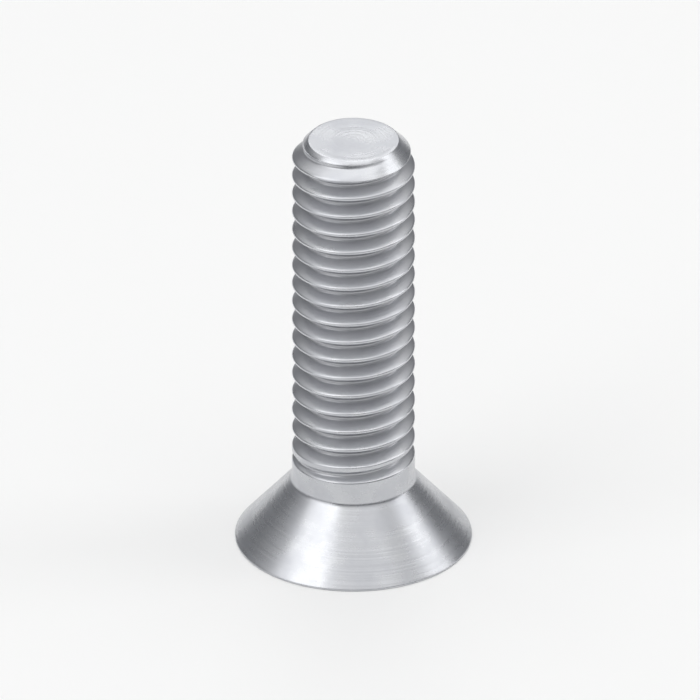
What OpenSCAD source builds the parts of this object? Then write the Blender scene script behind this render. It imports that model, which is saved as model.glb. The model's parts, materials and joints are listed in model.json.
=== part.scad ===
// Countersunk hexagon socket screw, standing on the flat of its head with the tip up.
// It is one piece of steel, in millimetres. The origin is the middle of the head's flat face,
// and +Z runs up the shank to the tip.

/* [Shank] */
// Length of the screw, from the flat of the head to the tip
screw_length = 34.925; // [25:0.005:60]
// Diameter of the flat at the tip
tip_d = 7.05; // [5:0.05:7.5]
// Angle between the tip's chamfer and the axis
tip_angle = 45; // [30:1:60]

/* [Thread] */
// Diameter over the thread's crests
thread_d = 9.525; // [8.5:0.005:11]
// Distance along the axis from one crest to the next
thread_pitch = 1.5875; // [1.25:0.0125:2]
// Length of plain shank between the head and the place where the thread starts
neck_length = 1.2; // [0.5:0.1:6]
// Turns over which the thread grows from nothing to its full depth
fade_turns = 1; // [0.5:0.25:2]
// Direction in which the thread starts, in degrees from +X towards +Y
thread_start_angle = 36; // [0:1:359]

/* [Head] */
// Diameter of the head over its rim
head_d = 18.35; // [16:0.05:22]
// Full angle of the countersunk cone
head_angle = 82; // [78:1:100]
// Height of the straight edge round the rim
rim_height = 0.15; // [0.05:0.05:0.8]
// Radius of the fillet between the cone and the shank
neck_fillet_r = 0.6; // [0.2:0.05:1.2]

/* [Drive socket] */
// Width of the hexagon across its flats
socket_width = 5.556; // [4:0.001:6.5]
// Depth of the hexagon's walls below the flat of the head
socket_depth = 4.04; // [2.5:0.01:4.5]
// How far the chamfer at the socket's mouth reaches past the hexagon's corners
socket_mouth = 0.12; // [0.05:0.01:0.4]
// Full angle of the chamfer at the socket's mouth
socket_mouth_angle = 120; // [90:1:140]
// Width of the ledge at the bottom of the socket, from a flat to the drill point
socket_ledge = 0.25; // [0.1:0.05:0.6]
// Full angle of the drill point at the bottom of the socket
socket_point_angle = 118; // [90:1:140]

/* [Hidden] */

// Straight steps that make up a turn of the thread, and the arc of the neck's fillet
turn_steps = 36;
fillet_steps = 6;
// Sides of a round form in a quick view
round_sides = 96;
// How far a cut starts outside the face that it opens
cut_past = 0.5;

// Outline of the turned blank
thread_r = thread_d / 2;
head_r = head_d / 2;
tip_r = tip_d / 2;
cone_slope = head_angle / 2;
head_height = rim_height + (head_r - thread_r) / tan(cone_slope);
tip_height = (thread_r - tip_r) / tan(tip_angle);
fillet_rise = neck_fillet_r * tan(cone_slope / 2);

// A 60 degree thread, with crests an eighth of the pitch wide and roots three sixteenths
flank_slope = 30;
groove_mouth = thread_pitch * (1 - 1 / 8);
groove_root = thread_pitch * 3 / 16;
groove_depth = (groove_mouth - groove_root) / 2 / tan(flank_slope);

// The thread's cutter stands this far out of the shank, a little less than makes its turns meet.
// Where it starts, its root is most of that way out too.
cutter_out = thread_pitch / 12;
cutter_start_out = cutter_out * 3 / 4;
cutter_start_z = head_height + neck_length + groove_root / 2;
cutter_turns = (screw_length - cutter_start_z) / thread_pitch + 1;

// Socket
socket_corner_r = socket_width / 2 / cos(30);
socket_mouth_r = socket_corner_r + socket_mouth;
socket_point_r = socket_width / 2 - socket_ledge;

// Head, neck and shank at the crests' diameter, with the chamfered tip
module blank() {
    fillet_middle = [thread_r + neck_fillet_r, head_height + fillet_rise];
    fillet = [
        for (i = [0 : fillet_steps])
            let (angle = 180 + cone_slope * (1 - i / fillet_steps))
            fillet_middle + neck_fillet_r * [cos(angle), sin(angle)]
    ];
    rotate_extrude($fn = round_sides)
        polygon(concat(
            [[0, 0], [head_r, 0], [head_r, rim_height]],
            fillet,
            [[thread_r, screw_length - tip_height], [tip_r, screw_length], [0, screw_length]]
        ));
}

// Radius at the bottom of the groove, a number of turns after its start
function groove_root_r(turns) =
    let (fade = min(1, turns / fade_turns))
    thread_r + cutter_start_out - fade * (cutter_start_out + groove_depth);

// Corners of the cutter's section, as radius and height above the groove's middle
function cutter_section(turns) =
    let (
        outer_r = thread_r + cutter_out,
        root_r = groove_root_r(turns),
        root = groove_root / 2,
        mouth = root + (outer_r - root_r) * tan(flank_slope)
    )
    [[root_r, -root], [root_r, root], [outer_r, mouth], [outer_r, -mouth]];

// Right-hand helix that cuts the thread's groove, from the neck to past the tip
module thread_cutter() {
    steps = ceil(cutter_turns * turn_steps);
    corners = len(cutter_section(0));
    points = [
        for (i = [0 : steps])
            let (
                turns = i / turn_steps,
                angle = thread_start_angle + 360 * turns,
                z = cutter_start_z + thread_pitch * turns
            )
            for (corner = cutter_section(turns))
                [corner.x * cos(angle), corner.x * sin(angle), z + corner.y]
    ];
    sides = [
        for (i = [0 : steps - 1], j = [0 : corners - 1])
            let (
                a = i * corners + j,
                b = i * corners + (j + 1) % corners,
                c = b + corners,
                d = a + corners
            )
            each [[a, c, b], [a, d, c]]
    ];
    start = [for (j = [0 : corners - 1]) j];
    end = [for (j = [0 : corners - 1]) len(points) - 1 - j];
    polyhedron(points, concat([start], sides, [end]));
}

// Hexagon for the key, with a chamfered mouth and the drill point at its bottom
module socket_cutter() {
    mouth_slope = tan(socket_mouth_angle / 2);
    translate([0, 0, -cut_past])
        cylinder(r = socket_corner_r, h = cut_past + socket_depth, $fn = 6);
    translate([0, 0, -cut_past])
        cylinder(
            r1 = socket_mouth_r + cut_past * mouth_slope,
            r2 = 0,
            h = cut_past + socket_mouth_r / mouth_slope,
            $fn = round_sides
        );
    rotate_extrude($fn = round_sides)
        polygon([
            [0, socket_depth - cut_past],
            [socket_point_r, socket_depth - cut_past],
            [socket_point_r, socket_depth],
            [0, socket_depth + socket_point_r / tan(socket_point_angle / 2)],
        ]);
}

module screw() {
    color("silver")
        difference() {
            blank();
            thread_cutter();
            socket_cutter();
        }
}

screw();
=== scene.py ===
"""Looks of a countersunk socket screw: one smooth threaded skin in bright zinc plate, on a pale floor."""

import json
import math

import bpy
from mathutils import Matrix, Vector


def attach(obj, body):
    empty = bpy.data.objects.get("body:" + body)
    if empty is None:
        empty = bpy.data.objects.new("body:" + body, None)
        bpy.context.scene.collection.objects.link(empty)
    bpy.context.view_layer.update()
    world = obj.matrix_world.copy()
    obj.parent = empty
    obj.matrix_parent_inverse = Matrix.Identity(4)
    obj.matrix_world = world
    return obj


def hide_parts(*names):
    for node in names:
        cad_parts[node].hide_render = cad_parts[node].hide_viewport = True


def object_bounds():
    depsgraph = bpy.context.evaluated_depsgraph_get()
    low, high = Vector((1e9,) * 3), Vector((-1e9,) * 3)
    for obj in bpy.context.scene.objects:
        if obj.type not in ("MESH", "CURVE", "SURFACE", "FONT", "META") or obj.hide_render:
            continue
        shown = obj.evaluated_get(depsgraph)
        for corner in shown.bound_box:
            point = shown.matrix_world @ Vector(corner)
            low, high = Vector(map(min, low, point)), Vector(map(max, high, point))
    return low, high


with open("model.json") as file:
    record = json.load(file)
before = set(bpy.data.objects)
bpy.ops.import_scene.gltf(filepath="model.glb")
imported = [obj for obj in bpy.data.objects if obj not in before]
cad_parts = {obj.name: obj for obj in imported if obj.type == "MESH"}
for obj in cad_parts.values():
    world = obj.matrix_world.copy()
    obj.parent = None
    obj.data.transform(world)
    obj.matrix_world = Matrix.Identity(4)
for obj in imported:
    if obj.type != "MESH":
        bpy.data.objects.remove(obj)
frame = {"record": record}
cad_low, cad_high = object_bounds()

# Sizes that the frame gives, in metres
MM = 0.001
MOUNTS = {mount["name"]: mount for mount in frame["record"]["mounts"]}
LENGTH = cad_high.z - cad_low.z
THREAD_R = MOUNTS["thread"]["dims"]["r_mm"] * MM
HEAD_R = MOUNTS["countersunk_seat"]["dims"]["r_mm"] * MM
SOCKET_DEPTH = MOUNTS["drive_socket"]["dims"]["length_mm"] * MM

# Head and tip, as in the part's source
TIP_R = 3.525 * MM
TIP_ANGLE = math.radians(45)
CONE_ANGLE = math.radians(41)
RIM_HEIGHT = 0.15 * MM
NECK_FILLET_R = 0.6 * MM
HEAD_HEIGHT = RIM_HEIGHT + (HEAD_R - THREAD_R) / math.tan(CONE_ANGLE)
FILLET_RISE = NECK_FILLET_R * math.tan(CONE_ANGLE / 2)
CHAMFER_Z = LENGTH - (THREAD_R - TIP_R) / math.tan(TIP_ANGLE)

# Drive socket, as in the part's source
SOCKET_FLAT = 2.778 * MM
SOCKET_MOUTH = 0.12 * MM
SOCKET_MOUTH_ANGLE = math.radians(60)
SOCKET_LEDGE = 0.25 * MM
SOCKET_POINT_ANGLE = math.radians(59)
SOCKET_MOUTH_R = SOCKET_FLAT / math.cos(math.pi / 6) + SOCKET_MOUTH
SOCKET_POINT_R = SOCKET_FLAT - SOCKET_LEDGE

# Thread, as in the part's source, with round roots as deep as the source's flat ones
PITCH = 1.5875 * MM
NECK_LENGTH = 1.2 * MM
START_ANGLE = math.radians(36)
FADE_TURNS = 1.0
FLANK = math.radians(30)
MOUTH_HALF = PITCH * 7 / 16
ROOT_HALF = PITCH * 3 / 32
GROOVE_DEPTH = (MOUTH_HALF - ROOT_HALF) / math.tan(FLANK)
ROOT_ROUND = MOUTH_HALF / math.tan(FLANK) - GROOVE_DEPTH
# The groove starts at this height, with its bottom this far out of the shank
START_Z = HEAD_HEIGHT + NECK_LENGTH + ROOT_HALF
START_OUT = PITCH / 16

# Small roundings that plated edges have
RIM_ROUND = 0.05 * MM
CONE_ROUND = 0.08 * MM
TIP_ROUND = 0.12 * MM
CREST_ROUND = 0.12 * MM
CHAMFER_ROUND = 0.15 * MM

# The mesh: columns round a turn, a multiple of six so that the hexagon keeps its corners
TURN = 2 * math.pi
STEPS = 96
# Rows across half a groove: steps of its round root and of its flank, and places on its rounded corner,
# which are shares of half the corner's width from its middle
ROOT_STEPS = 4
FLANK_STEPS = 4
CORNER_PLACES = (-1, -0.6, -0.25, 0.2, 0.55, 0.9)
# Half the width that the groove's rows keep where the groove is narrower or hasn't started
LEAST_MOUTH = MOUTH_HALF / 4
# The thread's skin is wound between these two levels, where the neck and the chamfer are plain
WIND_LOW = HEAD_HEIGHT + FILLET_RISE + 0.15 * MM
WIND_HIGH = LENGTH - 0.2 * MM
# Points of the thread as near to a level as this lie on it
WIND_NEAR = 0.02 * MM
# The thread has this share of its own height in the map, which leaves more of the map to the plain faces
THREAD_MAP = 0.55

# Finish: the plate's two colours, and the darker colour of painted shade that they go this far towards in
# the deepest recess
PLATE_PALE = (0.61, 0.62, 0.64, 1)
PLATE_GREY = (0.54, 0.55, 0.58, 1)
PLATE_PAINTED_SHADE = (0.36, 0.36, 0.38, 1)
RECESS_PAINTED_SHADE = 0.45
# How deep a recess the socket's mouth is, where the bottom of the socket is 1; this sets its painted shade
# and added roughness
MOUTH_RECESS = 0.4
# Roughness of its clouds, and what a recess and the marks add
CLOUD_ROUGHNESS = (0.2, 0.28)
RECESS_ROUGHNESS = 0.12
MARK_ROUGHNESS = 0.08
# Width and height of its marks, and how fast they change along their length as a share of across
MARK_SIZE = 0.25 * MM
MARK_HEIGHT = 0.011 * MM
MARK_DRIFT = 0.03
# Size of its clouds, and the noise levels that they show
CLOUD_SIZE = 2.2 * MM
CLOUD_RANGE = (0.3, 0.7)
# Size of its grain, and its height as a share of the marks'
GRAIN_SIZE = 0.08 * MM
GRAIN_HEIGHT = 0.25
# How strong each finer layer of the noise is against the one before
NOISE_ROUGHNESS = 0.55

# Studio floor
FLOOR_COLOUR = (0.92, 0.92, 0.915, 1)
FLOOR_ROUGHNESS = 0.7
FLOOR_R = 60 * LENGTH
# Studio room: its two colours, and the rises between which they blend, where 0 is level and 1 upright
ROOM_ABOVE = (0.92, 0.92, 0.92, 1)
ROOM_LEVEL = (0.2, 0.205, 0.215, 1)
ROOM_BLEND = (0.25, 0.85)
# Each lamp's place, width, height and brightness
LAMPS = {
    "lamp_above": ((0.0, 0.0, 0.5), 0.65, 0.65, 0.5),
    "lamp_left": ((-0.42, -0.25, 0.34), 0.45, 0.45, 1.0),
    "lamp_right": ((0.45, 0.05, 0.26), 0.2, 0.45, 1.2),
    "lamp_back": ((0.0, 0.5, 0.41), 0.3, 0.2, 1.3),
}

# The drawing, in pixels: its width, the shank's width, the axis, and the middle of the head's flat face
PICTURE = 700
SHANK_WIDTH = 123
AXIS_X = 353.5
HEAD_Y = 534.5
CAMERA_ELEVATION = math.radians(28.9)
CAMERA_DISTANCE = 8 * LENGTH


def arc(middle, radius, start, end, steps):
    """Points (radius from the axis, z) along an arc, with its angles in radians from outward to up."""
    angles = [start + (end - start) * i / steps for i in range(steps + 1)]
    return [(middle[0] + radius * math.cos(a), middle[1] + radius * math.sin(a)) for a in angles]


def stretch(start, end, steps):
    """Points between two points of an outline, closer together near both for even shading."""
    shares = [(1 - math.cos(math.pi * i / steps)) / 2 for i in range(1, steps)]
    return [tuple(a + (b - a) * share for a, b in zip(start, end)) for share in shares]


def soft_min(a, b, width):
    """The smaller of two values, rounded off where they are within width of each other."""
    overlap = max(width - abs(a - b), 0.0) / width
    return min(a, b) - overlap * overlap * width / 4


def all_round(value):
    """A function of the angle, from a number that is the same all round or from such a function."""
    return value if callable(value) else lambda angle: value


class Skin:
    """The screw's surface, built ring by ring from the bottom of the socket to the tip."""

    def __init__(self):
        self.points = []
        self.recess = []
        self.faces = []
        self.places = []
        self.sharp = set()
        self.last = None
        self.last_at = None
        self.run = 0.0

    def point(self, radius, angle, z, recess):
        """Adds a point and gives its index. Recess is 0 in the open and 1 deep in a root or the socket; it
        sets painted shade and roughness.
        """
        self.points.append((radius * math.cos(angle), radius * math.sin(angle), z))
        self.recess.append(recess)
        return len(self.points) - 1

    def ring(self, radius, z, recess=0.0):
        """Adds a ring of points and gives their indices. Radius and z may be functions of the angle."""
        # On the axis a ring is one point
        if radius == 0:
            return [self.point(0, 0, z, recess)] * STEPS
        radius_at = all_round(radius)
        z_at = all_round(z)
        angles = [TURN * i / STEPS for i in range(STEPS)]
        return [self.point(radius_at(angle), angle, z_at(angle), recess) for angle in angles]

    def face(self, corners):
        """A face through corners of (index, place), in which a point that comes again counts once.

        A place is the share of a turn, the run along the outline and the distance across the finish marks.
        """
        kept = {}
        for index, place in corners:
            kept.setdefault(index, place)
        if len(kept) > 2:
            self.faces.append(list(kept))
            self.places.extend(kept.values())

    def extend(self, radius, z, recess=0.0, sharp=False):
        """Adds a ring and joins it to the last one."""
        ring = self.ring(radius, z, recess)
        at = (all_round(radius)(0), all_round(z)(0))
        if self.last:
            run = self.run + math.dist(at, self.last_at)
            for i in range(STEPS):
                j = (i + 1) % STEPS
                left = i / STEPS
                right = (i + 1) / STEPS
                self.face([
                    (self.last[i], (left, self.run, self.run)),
                    (self.last[j], (right, self.run, self.run)),
                    (ring[j], (right, run, run)),
                    (ring[i], (left, run, run)),
                ])
            self.run = run
        if sharp:
            self.sharp.update(frozenset((ring[i], ring[i - 1])) for i in range(STEPS))
        self.last = ring
        self.last_at = at
        return ring

    def follow(self, outline):
        """Extends the skin through points (radius, z) of an outline."""
        for radius, z in outline:
            self.extend(radius, z)


def hexagon_r(angle):
    """Distance from the axis to the hexagon's wall."""
    return SOCKET_FLAT / math.cos(angle % (math.pi / 3) - math.pi / 6)


def mouth_z(angle):
    """Height at which the chamfer of the socket's mouth meets the hexagon's wall."""
    return (SOCKET_MOUTH_R - hexagon_r(angle)) / math.tan(SOCKET_MOUTH_ANGLE)


def add_socket(skin):
    """The drill point, ledge, six walls and chamfered mouth of the drive socket."""
    # The socket's points carry full recess and its mouth less, which gives them painted shade and added
    # roughness
    skin.extend(0, SOCKET_DEPTH + SOCKET_POINT_R / math.tan(SOCKET_POINT_ANGLE), recess=1.0)
    skin.extend(SOCKET_POINT_R, SOCKET_DEPTH, recess=1.0, sharp=True)
    floor_ring = skin.extend(hexagon_r, SOCKET_DEPTH, recess=1.0, sharp=True)
    mouth_ring = skin.extend(hexagon_r, mouth_z, recess=MOUTH_RECESS, sharp=True)
    for corner in range(0, STEPS, STEPS // 6):
        skin.sharp.add(frozenset((floor_ring[corner], mouth_ring[corner])))
    skin.extend(SOCKET_MOUTH_R, 0.0, sharp=True)


def add_head(skin):
    """The flat of the head, its rim, the cone and the fillet up to the plain neck."""
    rim = arc((HEAD_R - RIM_ROUND, RIM_ROUND), RIM_ROUND, -math.pi / 2, 0, steps=5)
    edge_z = RIM_HEIGHT - CONE_ROUND * math.tan(CONE_ANGLE / 2)
    edge = arc((HEAD_R - CONE_ROUND, edge_z), CONE_ROUND, 0, CONE_ANGLE, steps=4)
    fillet_middle = (THREAD_R + NECK_FILLET_R, HEAD_HEIGHT + FILLET_RISE)
    fillet = arc(fillet_middle, NECK_FILLET_R, math.pi + CONE_ANGLE, math.pi, steps=8)
    skin.follow(stretch((SOCKET_MOUTH_R, 0.0), rim[0], steps=8))
    skin.follow(rim)
    skin.follow(edge)
    skin.follow(stretch(edge[-1], fillet[0], steps=12))
    skin.follow(fillet)
    skin.extend(THREAD_R, WIND_LOW)


def add_tip(skin):
    """The rounded edge and the flat of the tip."""
    normal = math.pi / 2 - TIP_ANGLE
    middle = (TIP_R - TIP_ROUND * math.tan(normal / 2), LENGTH - TIP_ROUND)
    edge = arc(middle, TIP_ROUND, normal, math.pi / 2, steps=5)
    skin.follow(edge)
    skin.follow(stretch(edge[-1], (0.0, LENGTH), steps=8))
    skin.extend(0, LENGTH)


def groove_bottom(turns):
    """Radius at the bottom of the groove, some turns after its start, or clear of the shank before it."""
    if turns < 0:
        return THREAD_R + PITCH
    fade = min(1.0, turns / FADE_TURNS)
    return THREAD_R + START_OUT - fade * (START_OUT + GROOVE_DEPTH)


def groove_r(offset, bottom):
    """Radius of the groove's surface at an offset along the axis from its middle."""
    tangent = ROOT_ROUND * math.cos(FLANK)
    if abs(offset) < tangent:
        return bottom + ROOT_ROUND - math.sqrt(ROOT_ROUND**2 - offset**2)
    return bottom + ROOT_ROUND * (1 - math.sin(FLANK)) + (abs(offset) - tangent) / math.tan(FLANK)


def chamfer_r(z):
    """Radius of the tip's chamfer at a height."""
    return THREAD_R + (CHAMFER_Z - z) * math.tan(TIP_ANGLE)


def mouth_half(bottom):
    """Half the groove's width at the crests, where its bottom has this radius."""
    depth = THREAD_R - bottom
    round_depth = ROOT_ROUND * (1 - math.sin(FLANK))
    if depth > round_depth:
        return ROOT_ROUND * math.cos(FLANK) + (depth - round_depth) * math.tan(FLANK)
    if depth > 0:
        return max(LEAST_MOUTH, math.sqrt(ROOT_ROUND**2 - (ROOT_ROUND - depth) ** 2))
    return LEAST_MOUTH


def half_section():
    """Offsets from the groove's middle to a crest's middle, over round root, flank, corner and crest."""
    root_angle = math.pi / 2 - FLANK
    root = [ROOT_ROUND * math.sin(root_angle * i / ROOT_STEPS) for i in range(ROOT_STEPS + 1)]
    corner_half = CREST_ROUND * math.tan(FLANK)
    corner = [MOUTH_HALF + corner_half * place for place in CORNER_PLACES]
    flank = [root[-1] + (corner[0] - root[-1]) * i / FLANK_STEPS for i in range(1, FLANK_STEPS)]
    return root + flank + corner + [PITCH / 2]


def section(bottom):
    """Offsets of one turn's rows, from a crest's middle to the next one's, fitted to the groove."""
    half = mouth_half(bottom)
    crest_share = (PITCH / 2 - half) / (PITCH / 2 - MOUTH_HALF)
    fitted = [
        offset * half / MOUTH_HALF if offset < MOUTH_HALF else half + (offset - MOUTH_HALF) * crest_share
        for offset in half_section()
    ]
    return [-offset for offset in fitted[:0:-1]] + fitted


def thread_outline(turns):
    """Points (radius, z) of one turn's rows, a number of turns after the groove's start."""
    bottom = groove_bottom(turns)
    outline = []
    for offset in section(bottom):
        z = START_Z + PITCH * turns + offset
        if z < WIND_LOW + WIND_NEAR:
            outline.append((THREAD_R, WIND_LOW))
        elif z > WIND_HIGH - WIND_NEAR:
            outline.append((chamfer_r(WIND_HIGH), WIND_HIGH))
        else:
            grooved_r = soft_min(THREAD_R, groove_r(offset, bottom), CREST_ROUND)
            outline.append((soft_min(grooved_r, chamfer_r(z), CHAMFER_ROUND), z))
    return outline


def distances(outline):
    """Distances along an outline from its middle point, negative before it."""
    run = [0.0]
    for here, there in zip(outline, outline[1:]):
        run.append(run[-1] + math.dist(here, there))
    middle = run[len(run) // 2]
    return [distance - middle for distance in run]


def thread_points(skin, column, outline, low_ring, high_ring):
    """Indices of a column's points, which are the rings' own points on the two levels."""
    indices = []
    for radius, z in outline:
        if z == WIND_LOW:
            index = low_ring[column % STEPS]
        elif z == WIND_HIGH:
            index = high_ring[column % STEPS]
        else:
            blank_r = soft_min(THREAD_R, chamfer_r(z), CHAMFER_ROUND)
            # How deep the point lies in the groove, which sets the painted shade and roughness of the
            # roots
            recess = (blank_r - radius) / GROOVE_DEPTH
            index = skin.point(radius, TURN * column / STEPS, z, recess)
        indices.append(index)
    return indices


def add_thread(skin):
    """Winds the thread's rows from the neck to the chamfer, as one strip that meets its own last turn."""
    low_ring = skin.last
    high_at = (chamfer_r(WIND_HIGH), WIND_HIGH)
    high_ring = skin.ring(*high_at)
    start = START_ANGLE / TURN
    first = math.floor(STEPS * ((WIND_LOW - START_Z) / PITCH - 0.5 + start))
    last = math.ceil(STEPS * ((WIND_HIGH - START_Z) / PITCH + 0.5 + start))
    strip = {}
    marks = {}
    for column in range(first, last + STEPS + 1):
        outline = thread_outline(column / STEPS - start)
        marks[column] = distances(outline)
        strip[column] = thread_points(skin, column, outline[:-1], low_ring, high_ring)
    for column in range(first, last + 1):
        strip[column].append(strip[column + STEPS][0])

    # In the map each turn has a band of its own, as high as the longest outline needs
    band = THREAD_MAP * max(run[-1] - run[0] for run in marks.values())
    first_turn = first // STEPS

    def corner(column, row, turn, middle):
        """A corner of a face on the strip, with its place."""
        mark = marks[column][row]
        return strip[column][row], (turn, middle + THREAD_MAP * mark, mark)

    for column in range(first, last):
        left = column / STEPS % 1
        right = left + 1 / STEPS
        middle = skin.run + (column // STEPS - first_turn + 0.5) * band
        for row in range(len(strip[column]) - 1):
            skin.face([
                corner(column, row, left, middle),
                corner(column + 1, row, right, middle),
                corner(column + 1, row + 1, right, middle),
                corner(column, row + 1, left, middle),
            ])
    skin.run += (last // STEPS - first_turn + 1) * band
    skin.last = high_ring
    skin.last_at = high_at


def build_screw(material):
    """The whole screw as one closed mesh."""
    skin = Skin()
    add_socket(skin)
    add_head(skin)
    add_thread(skin)
    add_tip(skin)
    mesh = bpy.data.meshes.new("screw_body")
    mesh.from_pydata(skin.points, [], skin.faces)
    mesh.polygons.foreach_set("use_smooth", [True] * len(mesh.polygons))
    for edge in mesh.edges:
        edge.use_edge_sharp = frozenset(edge.vertices) in skin.sharp
    # The depth of recess at each point, which the plate turns into painted shade and roughness
    recess = mesh.attributes.new("recess", "FLOAT", "POINT")
    recess.data.foreach_set("value", skin.recess)
    across = mesh.attributes.new("across", "FLOAT", "CORNER")
    across.data.foreach_set("value", [mark for turn, run, mark in skin.places])
    bake_map = mesh.uv_layers.new(name="OFBake")
    map_places = [value for turn, run, mark in skin.places for value in (turn, run / skin.run)]
    bake_map.data.foreach_set("uv", map_places)
    mesh.materials.append(material)
    mesh.update()
    screw = bpy.data.objects.new("screw_body", mesh)
    bpy.context.scene.collection.objects.link(screw)
    return screw


def add_node(tree, kind, settings=None, inputs=None):
    """A node with these settings, whose inputs take values or other nodes' outputs."""
    node = tree.nodes.new(kind)
    for name, value in (settings or {}).items():
        setattr(node, name, value)
    for name, value in (inputs or {}).items():
        if isinstance(value, bpy.types.NodeSocket):
            tree.links.new(value, node.inputs[name])
        else:
            node.inputs[name].default_value = value
    return node


def attribute(tree, name):
    """A value that the mesh carries."""
    return add_node(tree, "ShaderNodeAttribute", {"attribute_name": name}).outputs["Fac"]


def noise(tree, place, size, detail):
    """Noise whose largest features are about this size, in metres."""
    inputs = {"Vector": place, "Scale": 1 / size, "Detail": detail, "Roughness": NOISE_ROUGHNESS}
    return add_node(tree, "ShaderNodeTexNoise", inputs=inputs).outputs["Fac"]


def spread(tree, value, from_range, to_range):
    """A value mapped from one range to another."""
    names = ("From Min", "From Max", "To Min", "To Max")
    inputs = {"Value": value, **dict(zip(names, (*from_range, *to_range)))}
    return add_node(tree, "ShaderNodeMapRange", inputs=inputs).outputs["Result"]


def blend_colours(tree, share, first, second):
    """A mix of two colours, by those sockets of the mix node that take and give colours."""
    mix = add_node(tree, "ShaderNodeMix", {"data_type": "RGBA"}, {0: share, 6: first, 7: second})
    return mix.outputs[2]


def combine(tree, operation, *values):
    """Values under a math operation."""
    return add_node(tree, "ShaderNodeMath", {"operation": operation}, dict(enumerate(values))).outputs[0]


def zinc_plate():
    """Bright zinc plate: fine marks round the axis and along the thread, faint clouds, rougher recesses
    darkened with painted shade.
    """
    material = bpy.data.materials.new("zinc_plate")
    material.use_nodes = True
    tree = material.node_tree
    shader = tree.nodes["Principled BSDF"]
    shader.inputs["Metallic"].default_value = 1.0
    place = add_node(tree, "ShaderNodeTexCoord").outputs["Object"]
    recess = attribute(tree, "recess")

    # Marks that run round the axis and along the thread, each fading slowly along its length
    across = add_node(tree, "ShaderNodeCombineXYZ", inputs={"X": attribute(tree, "across")}).outputs[0]
    drift = {0: place, 1: (MARK_DRIFT, MARK_DRIFT, MARK_DRIFT), 2: across}
    lines = add_node(tree, "ShaderNodeVectorMath", {"operation": "MULTIPLY_ADD"}, drift).outputs[0]
    marks = noise(tree, lines, MARK_SIZE, detail=4)
    clouds = noise(tree, place, CLOUD_SIZE, detail=3)
    grain = noise(tree, place, GRAIN_SIZE, detail=2)

    plate = blend_colours(tree, spread(tree, clouds, CLOUD_RANGE, (0, 1)), PLATE_PALE, PLATE_GREY)
    # Painted shade: the plate's colour darkens as the recess deepens, in the thread's roots and the socket
    colour = blend_colours(tree, combine(tree, "MULTIPLY", recess, RECESS_PAINTED_SHADE), plate, PLATE_PAINTED_SHADE)
    tree.links.new(colour, shader.inputs["Base Color"])

    clouded = spread(tree, clouds, CLOUD_RANGE, CLOUD_ROUGHNESS)
    duller = combine(tree, "MULTIPLY_ADD", recess, RECESS_ROUGHNESS, clouded)
    streaked = combine(tree, "MULTIPLY_ADD", marks, MARK_ROUGHNESS, duller)
    tree.links.new(streaked, shader.inputs["Roughness"])

    relief = combine(tree, "MULTIPLY_ADD", grain, GRAIN_HEIGHT, marks)
    height = {"Height": relief, "Distance": MARK_HEIGHT, "Strength": 1.0}
    bump = add_node(tree, "ShaderNodeBump", inputs=height)
    tree.links.new(bump.outputs["Normal"], shader.inputs["Normal"])
    return material


def floor_paint():
    """Plain pale paint that is clear from behind, so that the screw can be seen from below."""
    material = bpy.data.materials.new("floor_paint")
    material.use_nodes = True
    tree = material.node_tree
    shader = tree.nodes["Principled BSDF"]
    shader.inputs["Base Color"].default_value = FLOOR_COLOUR
    shader.inputs["Roughness"].default_value = FLOOR_ROUGHNESS
    clear = add_node(tree, "ShaderNodeBsdfTransparent").outputs[0]
    behind = add_node(tree, "ShaderNodeNewGeometry").outputs["Backfacing"]
    mix = add_node(tree, "ShaderNodeMixShader", inputs={0: behind, 1: shader.outputs[0], 2: clear})
    tree.links.new(mix.outputs[0], tree.nodes["Material Output"].inputs["Surface"])
    return material


def pale_floor():
    """A wide floor, open under the head so that it doesn't close the socket."""
    points = []
    for radius in (HEAD_R - RIM_ROUND, FLOOR_R):
        for i in range(STEPS):
            angle = TURN * i / STEPS
            points.append((radius * math.cos(angle), radius * math.sin(angle), 0.0))
    faces = [(i, STEPS + i, STEPS + (i + 1) % STEPS, (i + 1) % STEPS) for i in range(STEPS)]
    mesh = bpy.data.meshes.new("floor")
    mesh.from_pydata(points, [], faces)
    mesh.materials.append(floor_paint())
    floor = bpy.data.objects.new("floor", mesh)
    bpy.context.scene.collection.objects.link(floor)


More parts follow.
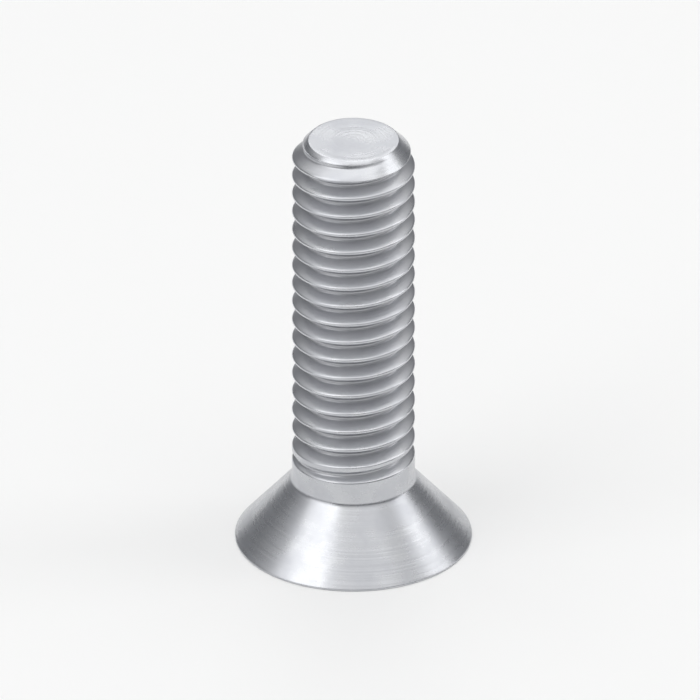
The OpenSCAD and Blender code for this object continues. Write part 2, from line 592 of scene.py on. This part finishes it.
def softbox(name, place, width, height, brightness):
    """A soft lamp that faces the screw's middle and adds this much brightness to the room behind it."""
    lamp = bpy.data.lights.new(name, "AREA")
    lamp.shape = "RECTANGLE"
    lamp.size = width
    lamp.size_y = height
    lamp.energy = brightness * math.pi * width * height
    holder = bpy.data.objects.new(name, lamp)
    holder.location = place
    aim = Vector((0, 0, LENGTH / 2)) - Vector(place)
    holder.rotation_mode = "QUATERNION"
    holder.rotation_quaternion = aim.to_track_quat("-Z", "Y")
    holder.visible_camera = False
    bpy.context.scene.collection.objects.link(holder)


def studio():
    """Soft lamps above, behind and at the sides, in a room that is greyer at level than above or below."""
    for name, (place, width, height, brightness) in LAMPS.items():
        softbox(name, place, width, height, brightness)
    world = bpy.data.worlds.new("room")
    world.use_nodes = True
    tree = world.node_tree
    way = add_node(tree, "ShaderNodeTexCoord").outputs["Generated"]
    up = add_node(tree, "ShaderNodeSeparateXYZ", inputs={0: way}).outputs["Z"]
    share = spread(tree, combine(tree, "ABSOLUTE", up), ROOM_BLEND, (0, 1))
    share.node.interpolation_type = "SMOOTHSTEP"
    colour = blend_colours(tree, share, ROOM_LEVEL, ROOM_ABOVE)
    tree.links.new(colour, tree.nodes["Background"].inputs["Color"])
    bpy.context.scene.world = world


def drawing_camera():
    """A camera with parallel rays at the drawing's angle, with the screw where the drawing has it."""
    pixel = 2 * THREAD_R / SHANK_WIDTH
    camera = bpy.data.cameras.new("camera")
    camera.type = "ORTHO"
    camera.ortho_scale = PICTURE * pixel
    camera.clip_start = 0.01
    camera.clip_end = 10
    rise = (HEAD_Y - PICTURE / 2) * pixel / math.cos(CAMERA_ELEVATION)
    target = Vector(((PICTURE / 2 - AXIS_X) * pixel, 0, rise))
    back = Vector((0, -math.cos(CAMERA_ELEVATION), math.sin(CAMERA_ELEVATION)))
    holder = bpy.data.objects.new("camera", camera)
    holder.location = target + back * CAMERA_DISTANCE
    holder.rotation_mode = "QUATERNION"
    holder.rotation_quaternion = (-back).to_track_quat("-Z", "Y")
    bpy.context.scene.collection.objects.link(holder)
    bpy.context.scene.camera = holder


screw = build_screw(zinc_plate())
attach(screw, "root")
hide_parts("screw")
pale_floor()
studio()
drawing_camera()
bpy.context.scene.view_settings.view_transform = "Standard"
